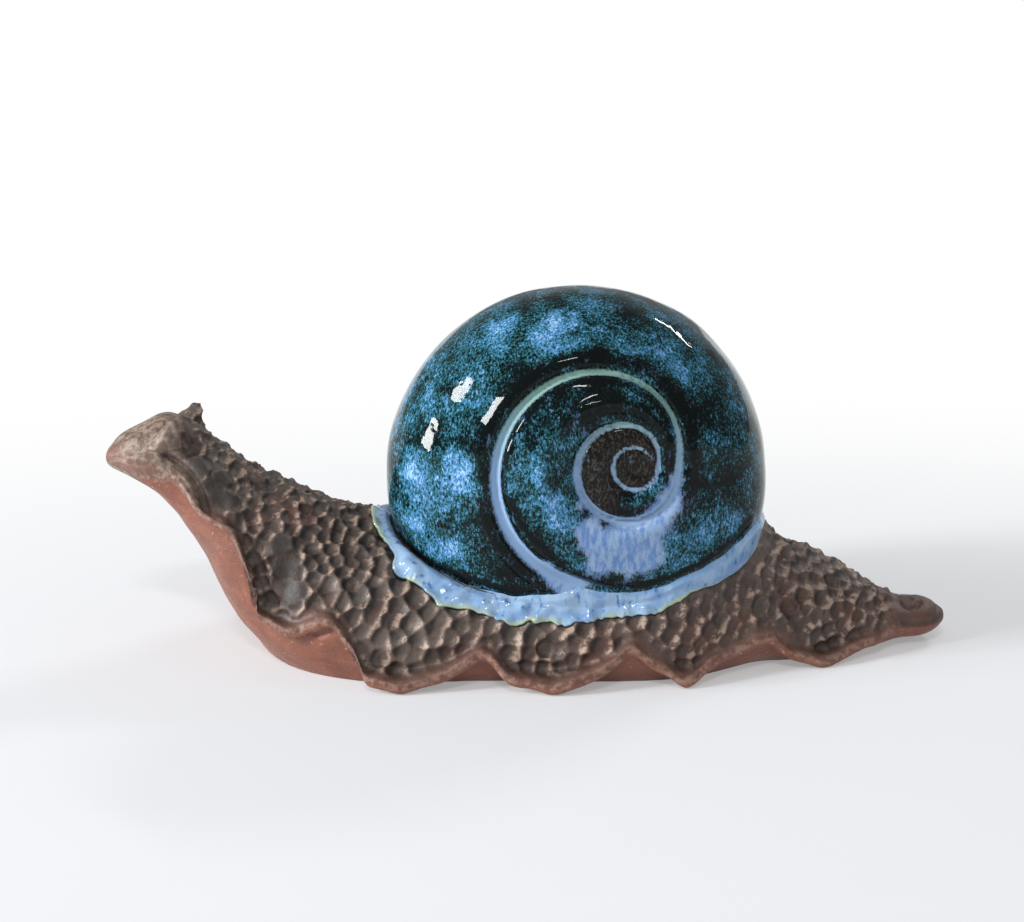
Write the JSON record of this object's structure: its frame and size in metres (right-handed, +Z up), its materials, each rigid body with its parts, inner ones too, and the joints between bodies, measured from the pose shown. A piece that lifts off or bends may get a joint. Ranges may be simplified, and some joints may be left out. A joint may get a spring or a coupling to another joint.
{
  "type": "snail figurine",
  "caption": "Hand-built ceramic snail with a raised head, a pebbled back, a ruffled foot edge and a glazed spiral shell, standing on a flat sole.",
  "frame": {"origin": "on the flat sole's plane, midway between the tip of the head and the tip of the tail, in the snail's middle plane", "axes": "+X along the snail from head to tail, +Z up, -Y towards the snail's left side, which the picture shows"},
  "size_m": [0.209, 0.0741, 0.091],
  "materials": {
    "smooth_clay": "unglazed red-brown stoneware, smoothed with a damp sponge",
    "pebbled_clay": "unglazed stoneware pressed into pebbles, with a dark oxide wash wiped back from the high places",
    "shell_glaze": "glossy speckled blue-green glaze that breaks almost black where it is thin",
    "collar_glaze": "glossy milky light blue glaze, pooled thick, yellow-green at its edge"
  },
  "bodies": {
    "root": {"foot_slab": "smooth_clay", "mantle_slab": "pebbled_clay", "head": "pebbled_clay", "tail_tip": "pebbled_clay", "horn_left": "pebbled_clay", "horn_right": "pebbled_clay", "frill_left": "pebbled_clay", "frill_right": "pebbled_clay", "shell_left_half": "shell_glaze", "shell_right_half": "shell_glaze", "whorl_coil_left": "shell_glaze", "whorl_coil_right": "shell_glaze", "collar_coil": "collar_glaze"}
  },
  "joints": []
}
